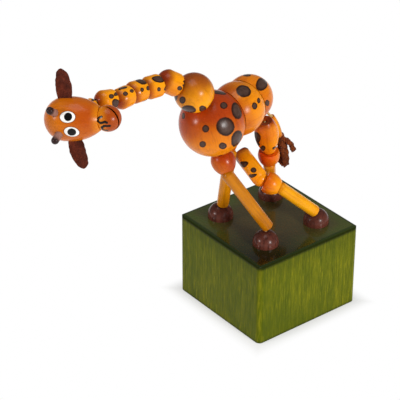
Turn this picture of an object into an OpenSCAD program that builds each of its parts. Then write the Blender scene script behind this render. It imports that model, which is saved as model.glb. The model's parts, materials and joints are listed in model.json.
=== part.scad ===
// Push puppet: a giraffe of turned wooden beads on a hollow base.
// It is drawn slumped, with the push button pressed in and the strings slack.
// The giraffe faces -Y, its left side is +X, and the base stands on z = 0.

/* [Base] */
// Width and depth of the square base
base_w = 50; // [47:1:70]
// Height of the base
base_h = 35.4; // [33:0.2:50]
// Radius of the upright corners
base_corner_r = 2; // [0.5:0.1:4]
// Radius of the top edges
base_edge_r = 1.2; // [0.4:0.1:2.5]
// Wood left above the pocket
roof_t = 9.4; // [6:0.2:12]

/* [Push button] */
// Thickness of the button
button_t = 6; // [4:0.2:7]
// Travel of the button from released to pressed
button_travel = 7; // [4:0.2:8]
// How far the released button sits inside the base
button_recess = 0.6; // [0.4:0.1:2]
// Diameter of the boss that centres the spring
boss_d = 18; // [10:0.5:22]
// Height of the boss
boss_h = 2.4; // [1:0.1:4]
// Wood left between a knot's pocket and the button's edge
button_rim = 0.8; // [0.5:0.1:1.5]
// Radial gap between the button and the pocket
button_gap = 0.3; // [0.2:0.05:0.6]

/* [Return spring] */
// Diameter of the spring wire
wire_d = 1.2; // [0.6:0.1:1.6]
// Number of coils
coils = 5; // [3:1:6]
// Gap between the boss and the coils
coil_gap = 0.6; // [0.3:0.1:1.5]

/* [Strings] */
// Diameter of the string
string_d = 1; // [0.6:0.1:1.4]
// Diameter of the string holes
bore_d = 1.8; // [1.6:0.1:2.4]
// Diameter of the knots under the button
knot_d = 2.6; // [2:0.1:3]
// Depth of the pockets that hold the knots
knot_depth = 3; // [2.6:0.1:3.4]

/* [Hooves] */
// Diameter of a hoof
hoof_d = 10.2; // [8:0.2:11]
// Height of a hoof
hoof_h = 6; // [5.4:0.1:7]
// Distance between the left and right hooves
hoof_spread = 26.6; // [22:0.2:27]
// Distance from the base's middle to the front hooves
front_hoof_y = 12.9; // [10:0.1:13.4]
// Distance from the base's middle to the rear hooves
rear_hoof_y = 12.9; // [10:0.1:13.4]

/* [Legs] */
// Diameter of the leg sticks
stick_d = 4.8; // [4:0.1:5.2]
// Rounding of a stick's foot
stick_round = 0.5; // [0.2:0.1:1]
// Radius of a stick's domed top
stick_top_r = 2.8; // [2.7:0.05:3.1]
// Length of a front stick, from its foot to the centre of its domed top
front_stick_len = 28.6; // [24:0.2:32]
// Length of a rear stick, from its foot to the centre of its domed top
rear_stick_len = 19; // [16:0.2:22]
// Diameter of the collars where sticks seat in their beads
collar_d = 5; // [4.6:0.1:5.4]
// Diameter of a shoulder bead
shoulder_d = 9.4; // [8.6:0.1:9.8]
// Distance from the stick's dome to the widest part of a shoulder bead
shoulder_rise = 6.4; // [5.6:0.1:7]
// Diameter of a knee bead
knee_d = 8.6; // [8:0.1:9.2]
// Distance from the stick's dome to the widest part of a knee bead
knee_mid = 5.8; // [5.2:0.1:6.4]
// Distance from the stick's dome to the thigh's pivot in the knee cup
knee_rise = 9.8; // [9.4:0.1:10.6]
// Depth of the thigh's round end in the knee cup
cup_depth = 1.1; // [0.6:0.1:1.3]
// Length of a thigh above its pivot
thigh_len = 13.6; // [12:0.2:15]
// Width of a thigh from front to back
thigh_w = 9.4; // [8:0.1:10]
// Thickness of a thigh from side to side
thigh_t = 6.4; // [6.3:0.1:7.6]
// Radius of a thigh's round lower end
thigh_end_r = 3.1; // [2.9:0.1:3.2]
// Diameter of a thigh's upper end
thigh_top_d = 5.6; // [5:0.1:7.4]

/* [Body] */
// Diameter of the chest ball
chest_d = 25; // [22:0.5:28]
// Diameter of the belly ball
belly_d = 20.8; // [19:0.2:23]
// Diameter of the rump ball
rump_d = 18; // [17:0.2:20]
// Distance between the centres of chest and belly
belly_step = 13.3; // [12:0.1:15]
// Distance between the centres of belly and rump
rump_step = 7.7; // [7:0.1:9]

/* [Tail] */
// Length of the wooden tail rod
tail_len = 10; // [8:0.2:13]
// Largest diameter of the tail rod
tail_d = 3.6; // [3:0.1:4.4]
// Diameter of the tail rod's ends
tail_end_d = 2.6; // [2.2:0.1:3]
// Bare string between the rump and the tail rod
tail_string_len = 9.6; // [8:0.2:12]
// Diameter of the string's thick bend at the top of the tail rod
tail_bend_d = 1.5; // [1.2:0.1:1.6]
// Length of the cord tuft
tuft_len = 10.5; // [8:0.5:14]
// Diameter of the cord tuft
tuft_d = 4.4; // [3:0.2:5]

/* [Neck] */
// Diameter of the ball at the foot of the neck
neck_ball_d = 14.8; // [13:0.2:17]
// Distance between the centres of chest and neck ball
neck_ball_step = 18.5; // [17.5:0.1:19.6]
// Diameter of the lowest neck bead
neck_d = 8.8; // [8.2:0.1:9.4]
// How much thinner each neck bead is than the one below it
neck_taper = 0.35; // [0.2:0.05:0.4]
// Distance from the neck ball's centre to the lowest bead's dome
neck_first_step = 11.4; // [10.5:0.1:14]
// Distance from dome to dome of the other neck beads
neck_step = 7.8; // [7.4:0.1:9]
// How much larger the radius of a neck bead's dome is than that of its side
neck_cap = 0.2; // [0.15:0.05:0.6]
// Radius of a neck bead's rounded rim
neck_edge = 1.4; // [0.8:0.1:1.5]
// Width of the flat ring between a neck bead's rim and its hollow
neck_flat = 0.2; // [0.1:0.05:0.4]

/* [Head] */
// Radius of the skull
skull_r = 7.7; // [7:0.1:8.4]
// Length of the straight stretch in front of the round back of the skull
skull_len = 2; // [1:0.1:3]
// Distance from the skull's centre to the waist behind the snout
waist_s = 12.3; // [11:0.1:13.4]
// Radius of that waist
waist_r = 4; // [3.4:0.1:4.4]
// Distance from the skull's centre to the snout ball's centre
snout_s = 15; // [14:0.1:16]
// Radius of the snout ball
snout_r = 4.6; // [4.2:0.1:5.2]
// Distance from the skull's centre to the neck's socket, along the head
socket_s = 4; // [3:0.1:5]
// Distance from the head's axis down to the neck's socket centre
socket_drop = 9.9; // [9.6:0.1:10.4]
// Width of the mouth groove
mouth_w = 0.7; // [0.4:0.1:1]
// Depth of the mouth groove
mouth_depth = 0.8; // [0.4:0.1:1.2]
// Diameter of a horn peg
horn_d = 2.7; // [2:0.1:3.2]
// Length of a horn outside the skull
horn_len = 4.4; // [3:0.2:7]
// Length of an ear outside the skull
ear_len = 10.2; // [7:0.2:12]
// Width of an ear
ear_w = 6; // [5:0.1:7]
// Thickness of an ear
ear_t = 0.9; // [0.6:0.1:1.4]

/* [Fit] */
// Gap between two beads that turn on each other
joint_gap = 0.15; // [0.08:0.01:0.3]
// Gap round a peg or tab that is glued in its hole
glue_gap = 0.05; // [0.02:0.01:0.1]

/* [Hidden] */
$fn = 64;
long_arc_fn = 1440;
eps = 0.01;

// Directions below are [azimuth, elevation] in degrees, azimuth from +X towards +Y.
// They are the places where the slack beads came to lie.
stick_aims = [[242.4, 57.3], [-22.4, 71.4], [254, 43], [-43.7, 57.2]];
shoulder_aims = [[178, 53.5], [201, 71]];
knee_aims = [[218, 21.7], [-57, 78.4]];
thigh_aims = [[183, 30], [-70, 76]];
chest_aim = [251, 75.3];
belly_aim = [95.5, 5.5];
rump_aim = [106, 9.7];
neck_ball_aim = [-84, 60];
neck_aims = [[-107, 32.5], [-90.5, 2.5], [-82.5, 7], [-73, 6.5], [-88.5, 12], [-94, -16]];
head_aim = [39, 7.6];
head_turn = -103;
// How far each stick's foot has slipped from the top of its hoof
foot_slips = [[0, 1, 1.2], [1.4, 0, 0.3], [1.6, -2.2, 0.5], [2.1, -2, -0.6]];
// The hooves are glued on by hand, a little to the right and askew
hoof_shift = -0.4;
hoof_skew = 0.55;
// How far each thigh has turned about its string
thigh_turns = [60, 20];
// Tail root on the rump, string and rod
tail_root_aim = [100, -42];
tail_string_aim = [101, -48];
tail_rod_aim = [75, -68];

// Unit vector of an [azimuth, elevation] pair
function aim(a) = [cos(a[1]) * cos(a[0]), cos(a[1]) * sin(a[0]), sin(a[1])];
function unit(v) = v / norm(v);
// Height at which a ball of radius r has the radius r_at round its axis
function ball_height(r, r_at) = sqrt(max(r * r - r_at * r_at, 0));

// Hooves and feet: front left, front right, rear left, rear right
hoof_xy = [
    for (p = [[1, -front_hoof_y], [-1, -front_hoof_y], [1, rear_hoof_y], [-1, rear_hoof_y]])
        [p[0] * hoof_spread / 2 + hoof_shift, p[1] + p[0] * hoof_skew]
];
function foot(i) = [hoof_xy[i][0], hoof_xy[i][1], base_h + hoof_h] + foot_slips[i];

// Base and button
roof_z = base_h - roof_t;
button_z = button_recess + button_travel;
button_top_z = button_z + button_t;
knot_hole_d = knot_d + bore_d - string_d;
string_reach = max([for (p = hoof_xy) norm(p)]);
button_r = string_reach + knot_hole_d / 2 + button_rim;
pocket_r = button_r + button_gap;

// Legs
function stick_len(i) = i < 2 ? front_stick_len : rear_stick_len;
function stick_top(i) = foot(i) + stick_len(i) * aim(stick_aims[i]);
function shoulder_at(i) = stick_top(i) + shoulder_rise * aim(shoulder_aims[i]);
function knee_at(i) = stick_top(i + 2) + knee_rise * aim(knee_aims[i]);
collar_r = collar_d / 2;
socket_r = stick_top_r + joint_gap;
collar_z = ball_height(socket_r, collar_r);
thigh_mid = thigh_len / 2;
thigh_bulge = 0.75;
flat_r = thigh_bulge * thigh_w;
seat = chest_d / 2 + shoulder_d / 2 + joint_gap;
chest_at = shoulder_at(0) + seat * aim(chest_aim);

// Body, neck and tail
belly_at = chest_at + belly_step * aim(belly_aim);
rump_at = belly_at + rump_step * aim(rump_aim);
neck_ball_at = chest_at + neck_ball_step * aim(neck_ball_aim);
tail_root = rump_at + (rump_d / 2 + joint_gap) * aim(tail_root_aim);
tail_top = tail_root + tail_string_len * aim(tail_string_aim);

// Neck beads are numbered from 1 at the neck ball to 6 under the head
neck_count = len(neck_aims);
function neck_side_r(i) = (neck_d - neck_taper * (i - 1)) / 2;
function neck_dome_r(i) = i == 0 ? neck_ball_d / 2 : neck_side_r(i) + neck_cap;
function neck_len(i) = i == 1 ? neck_first_step : neck_step;
// Centre of the dome that bead i + 1 turns on
function neck_dome(i) = i == 0 ? neck_ball_at : neck_dome(i - 1) + neck_len(i) * aim(neck_aims[i - 1]);

// Placing helpers

// Stands its children at a point with their +Z along a direction, turned about it
module stand(at, dir, turn = 0) {
    u = unit(dir);
    translate(at) rotate([0, acos(u[2]), atan2(u[1], u[0])]) rotate([0, 0, turn]) children();
}

module bore(from_z, to_z) {
    translate([0, 0, from_z]) cylinder(d = bore_d, h = to_z - from_z);
}

module string(from_z, to_z) {
    color("tan") translate([0, 0, from_z]) cylinder(d = string_d, h = to_z - from_z);
}

// Half outline of a swelling shape: r_max at y = 0, r_end at y = len
module half_spindle(r_max, r_end, len) {
    k = (len * len + r_end * r_end - r_max * r_max) / (2 * (r_max - r_end));
    intersection() {
        translate([-k, 0]) circle(r = r_max + k, $fn = long_arc_fn);
        square([r_max, len]);
    }
}

// Profile of a column with a rounded lower edge
module rounded_rim(r, len, edge) {
    square([r - edge, len]);
    translate([0, edge]) square([r, len - edge]);
    translate([r - edge, edge]) circle(r = edge);
}

// Right half of a disc at height y
module half_disc(r, y) {
    translate([0, y]) intersection() {
        circle(r = r);
        translate([0, -r]) square([r, 2 * r]);
    }
}

// Base

module rounded_square(w, h, r) {
    translate([r, 0]) square([w - 2 * r, h]);
    translate([0, r]) square([w, h - 2 * r]);
    for (x = [r, w - r], y = [r, h - r]) translate([x, y]) circle(r = r);
}

// Side view of the base: square below, rounded at the top edge
module base_side() {
    r = base_edge_r;
    translate([-base_w / 2, 0]) square([base_w, base_h - r]);
    translate([r - base_w / 2, 0]) square([base_w - 2 * r, base_h]);
    for (x = [-1, 1]) translate([x * (base_w / 2 - r), base_h - r]) circle(r = r);
}

module base_block() {
    color("olivedrab") difference() {
        intersection() {
            linear_extrude(base_h)
                translate([-base_w / 2, -base_w / 2]) rounded_square(base_w, base_w, base_corner_r);
            translate([0, base_w / 2, 0]) rotate([90, 0, 0]) linear_extrude(base_w) base_side();
            translate([-base_w / 2, 0, 0]) rotate([90, 0, 90]) linear_extrude(base_w) base_side();
        }
        translate([0, 0, -eps]) cylinder(r = pocket_r, h = roof_z + eps);
        for (p = hoof_xy) translate([p[0], p[1], roof_z - 1]) bore(0, roof_t + 2);
    }
}

module push_button() {
    color("burlywood") difference() {
        translate([0, 0, button_z]) union() {
            cylinder(r = button_r, h = button_t);
            cylinder(d = boss_d, h = button_t + boss_h);
        }
        for (p = hoof_xy) translate([p[0], p[1], button_z]) {
            bore(-eps, button_t + 1);
            translate([0, 0, -eps]) cylinder(d = knot_hole_d, h = knot_depth);
        }
    }
}

// Knotted string ends in the button
module string_knots() {
    color("tan") for (p = hoof_xy) translate([p[0], p[1], button_z + knot_depth - knot_d / 2]) {
        sphere(d = knot_d);
        cylinder(d = string_d, h = button_t - knot_depth + knot_d);
    }
}

// Leg strings in the base's roof and the hooves
module base_strings() {
    for (p = hoof_xy) translate([p[0], p[1], 0]) string(roof_z + eps, base_h + hoof_h - joint_gap);
}

// Rings of six points along the coil
coil_sides = 6;
coil_steps = 8;
coil_rings = coil_steps * coils;
coil_r = (boss_d / 2 + coil_gap) / cos(180 / coil_steps) + wire_d / 2;
coil_foot = button_top_z + joint_gap + wire_d / 2;
coil_head = roof_z - joint_gap - wire_d / 2;
coil_pitch = (coil_head - coil_foot) / coils;
function coil_out(i) = [cos(360 * i / coil_steps), sin(360 * i / coil_steps), 0];
function coil_centre(i) = coil_r * coil_out(i) + [0, 0, coil_foot + coil_pitch * i / coil_steps];
function coil_ring(i) = [
    for (j = [0 : coil_sides - 1])
        let (a = 360 / coil_sides * j)
        coil_centre(i) + wire_d / 2 * (cos(a) * coil_out(i) + sin(a) * [0, 0, 1])
];
coil_self_gap = coil_pitch - wire_d;

module return_spring() {
    echo(least_gap_between_coils = coil_self_gap);
    points = [for (i = [0 : coil_rings]) each coil_ring(i)];
    last = coil_rings * coil_sides;
    sides = [
        for (i = [0 : coil_rings - 1], j = [0 : coil_sides - 1])
            let (a = i * coil_sides + j, b = i * coil_sides + (j + 1) % coil_sides)
            each [[a, b, a + coil_sides], [b, b + coil_sides, a + coil_sides]]
    ];
    foot = [for (j = [1 : coil_sides - 2]) [0, j + 1, j]];
    head = [for (j = [1 : coil_sides - 2]) [last, last + j, last + j + 1]];
    color("silver") polyhedron(points, concat(sides, foot, head), convexity = 10);
}

// Legs

module hoof(i) {
    color("saddlebrown") translate([hoof_xy[i][0], hoof_xy[i][1], base_h]) difference() {
        rotate_extrude() intersection() {
            half_disc(hoof_d / 2, hoof_h - hoof_d / 2);
            square([hoof_d, hoof_h]);
        }
        bore(-eps, hoof_h + 1);
    }
}

// Stick on its foot, with a domed top
module stick(i) {
    len = stick_len(i);
    color("orange") stand(foot(i), aim(stick_aims[i])) difference() {
        rotate_extrude() {
            square([stick_d / 2 - stick_round, len]);
            translate([0, stick_round]) square([stick_d / 2, len - stick_round]);
            translate([stick_d / 2 - stick_round, stick_round]) circle(r = stick_round);
            intersection() {
                half_disc(stick_top_r, len);
                translate([0, len]) square([stick_d / 2, stick_top_r]);
            }
        }
        bore(-1, len + stick_top_r + 1);
    }
}

module stick_string(i) {
    stand(foot(i), aim(stick_aims[i])) string(joint_gap, stick_len(i) + stick_top_r - joint_gap);
}

// Outline of a bead from its collar up to its widest part
module bead_foot(r, mid) {
    translate([0, mid]) mirror([0, 1]) half_spindle(r, collar_r, mid - collar_z);
}

// Front bead: its domed top carries the chest
module shoulder(i) {
    r = shoulder_d / 2;
    color("chocolate") stand(stick_top(i), aim(shoulder_aims[i])) difference() {
        rotate_extrude() {
            bead_foot(r, shoulder_rise);
            intersection() {
                half_disc(r, shoulder_rise);
                translate([0, shoulder_rise]) square(r);
            }
        }
        sphere(r = socket_r);
        bore(0, shoulder_rise + r + 1);
    }
}

module shoulder_string(i) {
    stand(stick_top(i), aim(shoulder_aims[i])) string(socket_r, shoulder_rise + shoulder_d / 2 - joint_gap);
}

// Rear bead: its hollow top takes the thigh's round end
module knee(i) {
    r = knee_d / 2;
    rim_z = knee_rise - thigh_end_r - joint_gap + cup_depth;
    color("chocolate") stand(stick_top(i + 2), aim(knee_aims[i])) difference() {
        rotate_extrude() {
            bead_foot(r, knee_mid);
            intersection() {
                half_disc(r, knee_mid);
                translate([0, knee_mid]) square([r, rim_z - knee_mid]);
            }
        }
        sphere(r = socket_r);
        translate([0, 0, knee_rise]) sphere(r = thigh_end_r + joint_gap);
        bore(0, knee_rise);
    }
}

module knee_string(i) {
    stand(stick_top(i + 2), aim(knee_aims[i])) string(socket_r, knee_rise - thigh_end_r - 2 * joint_gap);
}

// Large round bar whose outside is one flattened side of a thigh
module thigh_flat(side) {
    translate([side * (thigh_t / 2 - flat_r), 0, -thigh_len]) cylinder(r = flat_r, h = 3 * thigh_len);
}

// Thigh: a swelling cigar with flattened sides and a hollow top for the rump
module thigh(i) {
    color("orange") stand(knee_at(i), aim(thigh_aims[i]), thigh_turns[i]) difference() {
        intersection() {
            rotate_extrude() {
                half_disc(thigh_end_r, 0);
                translate([0, thigh_mid]) {
                    mirror([0, 1]) half_spindle(thigh_w / 2, thigh_end_r, thigh_mid);
                    half_spindle(thigh_w / 2, thigh_top_d / 2, thigh_len - thigh_mid);
                }
            }
            thigh_flat(-1);
            thigh_flat(1);
        }
        translate([0, 0, thigh_len + rump_d / 2 - cup_depth / 2]) sphere(r = rump_d / 2);
        bore(-thigh_end_r - 1, thigh_len + 1);
    }
}

module thigh_string(i) {
    stand(knee_at(i), aim(thigh_aims[i]))
        string(-thigh_end_r + joint_gap, thigh_len - cup_depth / 2 - joint_gap);
}

// Body

// The chest's string holes point at its neighbours
chest_holes = [belly_at, neck_ball_at, shoulder_at(0), shoulder_at(1)];

module chest_ball() {
    color("darkorange") difference() {
        translate(chest_at) sphere(d = chest_d);
        for (p = chest_holes) stand(chest_at, p - chest_at) bore(0, chest_d);
    }
}

module chest_strings() {
    for (p = chest_holes)
        stand(chest_at, p - chest_at) string(2 * bore_d, chest_d / 2 - joint_gap);
}

// Half outline of a ball with a hollow for the larger ball before it
module hollow_ball(d, step, before_d) {
    difference() {
        half_disc(d / 2, 0);
        translate([0, -step]) circle(r = before_d / 2 + joint_gap);
    }
}

module belly_ball() {
    color("orange") stand(belly_at, aim(belly_aim)) difference() {
        rotate_extrude() hollow_ball(belly_d, belly_step, chest_d);
        bore(-belly_d, belly_d);
    }
}

module belly_string() {
    stand(belly_at, aim(belly_aim))
        string(chest_d / 2 - belly_step + 2 * joint_gap, belly_d / 2 - joint_gap);
}

module rump_ball() {
    color("orange") difference() {
        stand(rump_at, aim(rump_aim)) rotate_extrude() hollow_ball(rump_d, rump_step, belly_d);
        stand(rump_at, aim(tail_root_aim)) bore(0, rump_d);
    }
}

module rump_string() {
    stand(rump_at, aim(tail_root_aim)) string(rump_d / 2 - 2 * bore_d, rump_d / 2 - joint_gap);
}

module tail_rod() {
    color("orange") stand(tail_top, aim(tail_rod_aim)) difference() {
        rotate_extrude() translate([0, tail_len / 2]) {
            half_spindle(tail_d / 2, tail_end_d / 2, tail_len / 2);
            mirror([0, 1]) half_spindle(tail_d / 2, tail_end_d / 2, tail_len / 2);
        }
        bore(-1, tail_len + 1);
    }
}

// Bare string from the rump to the tail rod, and on through the rod
module tail_string() {
    color("tan") {
        stand(tail_root, aim(tail_string_aim)) cylinder(d = string_d, h = tail_string_len);
        translate(tail_top) sphere(d = tail_bend_d);
        stand(tail_top, aim(tail_rod_aim)) cylinder(d = string_d, h = tail_len);
    }
}

// Cord tuft below the tail rod
module tail_tuft() {
    color("sienna") stand(tail_top, aim(tail_rod_aim)) translate([0, 0, tail_len + joint_gap])
        rotate_extrude() translate([0, tuft_len / 2]) {
            half_spindle(tuft_d / 2, tail_end_d / 2, tuft_len / 2);
            mirror([0, 1]) half_spindle(tuft_d / 2, tail_end_d / 2, tuft_len / 2);
        }
}

// Neck

module neck_ball() {
    color("orange") difference() {
        stand(neck_ball_at, aim(neck_ball_aim)) difference() {
            rotate_extrude() hollow_ball(neck_ball_d, neck_ball_step, chest_d);
            bore(-neck_ball_d, 0);
            sphere(r = bore_d);
        }
        stand(neck_ball_at, aim(neck_aims[0])) bore(0, neck_ball_d);
    }
}

module neck_ball_string() {
    stand(neck_ball_at, aim(neck_aims[0])) string(bore_d, neck_ball_d / 2 - joint_gap);
}

// Bead i: a hollow end with a rounded rim on the dome below it, and a dome for the next one
module neck_bead(i) {
    seat_r = neck_dome_r(i - 1) + joint_gap;
    side_r = neck_side_r(i);
    rim_z = ball_height(seat_r, side_r - neck_edge - neck_flat);
    color("orange") stand(neck_dome(i - 1), aim(neck_aims[i - 1])) difference() {
        rotate_extrude() {
            translate([0, rim_z]) rounded_rim(side_r, neck_len(i) - rim_z, neck_edge);
            intersection() {
                half_disc(neck_dome_r(i), neck_len(i));
                translate([0, neck_len(i)]) square([side_r, neck_dome_r(i)]);
            }
        }
        sphere(r = seat_r);
        bore(0, neck_len(i) + neck_dome_r(i) + 1);
    }
}

module neck_string(i) {
    stand(neck_dome(i - 1), aim(neck_aims[i - 1]))
        string(neck_dome_r(i - 1) + 2 * joint_gap, neck_len(i) + neck_dome_r(i) - joint_gap);
}

// Head: +Z runs to the snout, +X to the top of the head, +Y to its right
head_socket = [-socket_drop, 0, socket_s];
// The horns' holes are drilled a little unevenly
horn_lean = [0.85, 0.485, -0.215];
horn_shift = 0.4;
horn_skew = 0.4;
horn_depth = 2.5;
horn_seat = skull_r - horn_depth;
// The ears sit a little unevenly, one leaning back and one forward
ear_root_x = 0.8;
left_ear_z = 0.5;
right_ear_z = 2.8;
left_ear_lean = 5;
right_ear_lean = 10;
ear_tab = 1.6;
ear_tab_w = 0.75 * ear_w;
// Share of an ear's length from its widest part to its tip
ear_reach = 0.62;
// The mouth is sawn askew
mouth_rise = 0.2;
mouth_tilt = 21.6;
mouth_roll = 12.8;

module place_head() {
    stand(neck_dome(neck_count), aim(head_aim), head_turn) translate(-head_socket) children();
}

module head_outline() {
    intersection() {
        half_disc(skull_r, 0);
        translate([0, -skull_r]) square([skull_r, skull_r]);
    }
    square([skull_r, skull_len]);
    translate([0, skull_len]) half_spindle(skull_r, waist_r, waist_s - skull_len);
    half_disc(snout_r, snout_s);
}

// Thin slice round the front of the snout
module mouth_groove() {
    translate([0, 0, snout_s]) difference() {
        translate([mouth_rise, 0, 0]) rotate([0, mouth_tilt, 0]) rotate([0, 0, mouth_roll])
            translate([-mouth_w / 2, -2 * snout_r, -snout_r / 4]) cube([mouth_w, 4 * snout_r, 3 * snout_r]);
        sphere(r = snout_r - mouth_depth);
    }
}

module horn_place(side) {
    lean = [horn_lean[0], side * horn_lean[1], horn_lean[2]];
    stand([0, 0, horn_shift + side * horn_skew], lean) children();
}

// Ear frame: +Y runs out of the skull, X across the ear and Z through it
module ear_place(side) {
    translate([ear_root_x, side * skull_r, side > 0 ? right_ear_z : left_ear_z])
        rotate([side > 0 ? right_ear_lean : 180 - left_ear_lean, 0, 0]) rotate([0, 90, 0]) children();
}

module ear_slot() {
    translate([-ear_tab_w / 2 - glue_gap, -ear_tab - glue_gap, -ear_t / 2 - glue_gap])
        cube([ear_tab_w + 2 * glue_gap, 2 * skull_r, ear_t + 2 * glue_gap]);
}

module head() {
    color("darkorange") place_head() difference() {
        rotate_extrude() head_outline();
        translate(head_socket) sphere(r = neck_dome_r(neck_count) + joint_gap);
        stand(head_socket, -head_socket) bore(0, socket_drop);
        mouth_groove();
        for (side = [-1, 1]) {
            horn_place(side) translate([0, 0, horn_seat - glue_gap])
                cylinder(d = horn_d + 2 * glue_gap, h = skull_r);
            ear_place(side) ear_slot();
        }
    }
}

module horn(side) {
    color("rosybrown") place_head() horn_place(side) translate([0, 0, horn_seat]) {
        cylinder(d = horn_d, h = horn_depth + horn_len - horn_d / 2);
        translate([0, 0, horn_depth + horn_len - horn_d / 2]) sphere(d = horn_d);
    }
}

// Leaf outline from y = 0 to y = ear_len, with a tab below it
module ear_outline() {
    reach = ear_reach * ear_len;
    r = (reach * reach + ear_w * ear_w / 4) / ear_w;
    intersection() {
        translate([r - ear_w / 2, ear_len - reach]) circle(r = r);
        translate([ear_w / 2 - r, ear_len - reach]) circle(r = r);
        translate([-ear_w, 0]) square([2 * ear_w, 2 * ear_len]);
    }
    translate([-ear_tab_w / 2, -ear_tab]) square([ear_tab_w, ear_tab + 1]);
}

module ear(side) {
    color("sienna") place_head() ear_place(side) linear_extrude(ear_t, center = true) ear_outline();
}

base_block();
push_button();
return_spring();
string_knots();
base_strings();
hoof(0);  // front_left_hoof
hoof(1);  // front_right_hoof
hoof(2);  // rear_left_hoof
hoof(3);  // rear_right_hoof
stick(0);  // front_left_stick
stick(1);  // front_right_stick
stick(2);  // rear_left_stick
stick(3);  // rear_right_stick
shoulder(0);  // front_left_shoulder
shoulder(1);  // front_right_shoulder
knee(0);  // rear_left_knee
knee(1);  // rear_right_knee
thigh(0);  // rear_left_thigh
thigh(1);  // rear_right_thigh
chest_ball();
belly_ball();
rump_ball();
tail_rod();
tail_string();
tail_tuft();
neck_ball();
neck_bead(1);  // neck_bead_1
neck_bead(2);  // neck_bead_2
neck_bead(3);  // neck_bead_3
neck_bead(4);  // neck_bead_4
neck_bead(5);  // neck_bead_5
neck_bead(6);  // neck_bead_6
head();
horn(-1);  // left_horn
horn(1);  // right_horn
ear(-1);  // left_ear
ear(1);  // right_ear
stick_string(0);  // front_left_stick_string
stick_string(1);  // front_right_stick_string
stick_string(2);  // rear_left_stick_string
stick_string(3);  // rear_right_stick_string
shoulder_string(0);  // front_left_shoulder_string
shoulder_string(1);  // front_right_shoulder_string
knee_string(0);  // rear_left_knee_string
knee_string(1);  // rear_right_knee_string
thigh_string(0);  // rear_left_thigh_string
thigh_string(1);  // rear_right_thigh_string
chest_strings();
belly_string();
rump_string();
neck_ball_string();
neck_string(1);  // neck_string_1
neck_string(2);  // neck_string_2
neck_string(3);  // neck_string_3
neck_string(4);  // neck_string_4
neck_string(5);  // neck_string_5
neck_string(6);  // neck_string_6
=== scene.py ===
"""Push puppet: a slumped giraffe of turned, lacquered beads on a green stained base."""

import json
import math
from collections import namedtuple

import bpy
import bmesh
from mathutils import Matrix, Vector, noise
from mathutils.bvhtree import BVHTree

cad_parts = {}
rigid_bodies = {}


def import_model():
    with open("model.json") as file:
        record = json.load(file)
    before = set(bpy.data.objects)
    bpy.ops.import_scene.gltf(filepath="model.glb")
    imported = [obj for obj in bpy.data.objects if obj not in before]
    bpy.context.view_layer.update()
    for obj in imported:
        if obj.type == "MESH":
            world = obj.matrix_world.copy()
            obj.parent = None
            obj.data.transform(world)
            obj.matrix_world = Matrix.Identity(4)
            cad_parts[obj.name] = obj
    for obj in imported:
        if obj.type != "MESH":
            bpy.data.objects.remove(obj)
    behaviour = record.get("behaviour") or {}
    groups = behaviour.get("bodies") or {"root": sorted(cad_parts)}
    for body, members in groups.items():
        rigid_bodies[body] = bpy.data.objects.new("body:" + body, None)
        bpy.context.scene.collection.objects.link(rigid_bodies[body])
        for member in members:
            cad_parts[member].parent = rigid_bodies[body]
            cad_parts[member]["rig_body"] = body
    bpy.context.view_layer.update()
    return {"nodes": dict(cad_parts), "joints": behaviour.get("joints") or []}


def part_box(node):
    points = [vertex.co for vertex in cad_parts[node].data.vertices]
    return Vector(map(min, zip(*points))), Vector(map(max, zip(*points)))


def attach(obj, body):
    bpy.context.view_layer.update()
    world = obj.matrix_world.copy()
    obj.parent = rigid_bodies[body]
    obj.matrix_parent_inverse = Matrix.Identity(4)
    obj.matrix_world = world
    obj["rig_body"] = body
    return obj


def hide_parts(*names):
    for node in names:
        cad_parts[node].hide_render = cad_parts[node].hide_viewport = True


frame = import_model()
NODES = frame["nodes"]
JOINTS = frame["joints"]
MM = 0.001
UP = Vector((0, 0, 1))

# Camera, fitted to the edges of the base in the photograph
CAMERA_TARGET = Vector((-18.5, -20.0, 43.0)) * MM
CAMERA_DISTANCE = 0.7
CAMERA_BACK = Vector((0.67674, -0.52652, 0.51459)).normalized()
CAMERA_RIGHT = UP.cross(CAMERA_BACK).normalized()
CAMERA_UP = CAMERA_BACK.cross(CAMERA_RIGHT)
CAMERA_LEVEL = Vector((CAMERA_BACK.x, CAMERA_BACK.y, 0)).normalized()
CAMERA_PLACE = CAMERA_TARGET + CAMERA_DISTANCE * CAMERA_BACK
CLIP_NEAR = 0.01
CLIP_FAR = 20.0
# Width of the photograph and focal length in pixels, and width of the sensor in millimetres
IMAGE = 400
FOCAL = 1778.0
SENSOR = 36.0


def make_camera():
    data = bpy.data.cameras.new("camera")
    data.sensor_width = SENSOR
    data.lens = FOCAL / IMAGE * SENSOR
    data.clip_start = CLIP_NEAR
    data.clip_end = CLIP_FAR
    cam = bpy.data.objects.new("camera", data)
    cam.location = CAMERA_PLACE
    cam.rotation_euler = CAMERA_BACK.to_track_quat("Z", "Y").to_euler()
    bpy.context.scene.collection.objects.link(cam)
    bpy.context.scene.camera = cam


def srgb(code):
    """Linear colour of a #RRGGBB code."""
    parts = [int(code[i:i + 2], 16) / 255 for i in (1, 3, 5)]
    return tuple(p / 12.92 if p <= 0.04045 else ((p + 0.055) / 1.055) ** 2.4 for p in parts) + (1.0,)


# Where things are

# Steps and first guess of the search for a node's longest direction
AXIS_STEPS = 200
AXIS_GUESS = Vector((0.31, 0.52, 0.79))


def pixel_ray(x, y):
    """Direction from the camera through a pixel of the photograph."""
    across = (x - IMAGE / 2) / FOCAL
    down = (y - IMAGE / 2) / FOCAL
    return (CAMERA_RIGHT * across - CAMERA_UP * down - CAMERA_BACK).normalized()


def pixel_on_wall(x, y, point):
    """Point seen at a pixel, on the upright plane through another point that faces the camera."""
    ray = pixel_ray(x, y)
    return CAMERA_PLACE + ray * ((point - CAMERA_PLACE).dot(CAMERA_LEVEL) / ray.dot(CAMERA_LEVEL))


def middle(node):
    low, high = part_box(node)
    return (low + high) / 2


def half_size(node):
    low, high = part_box(node)
    return max(high - low) / 2


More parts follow.
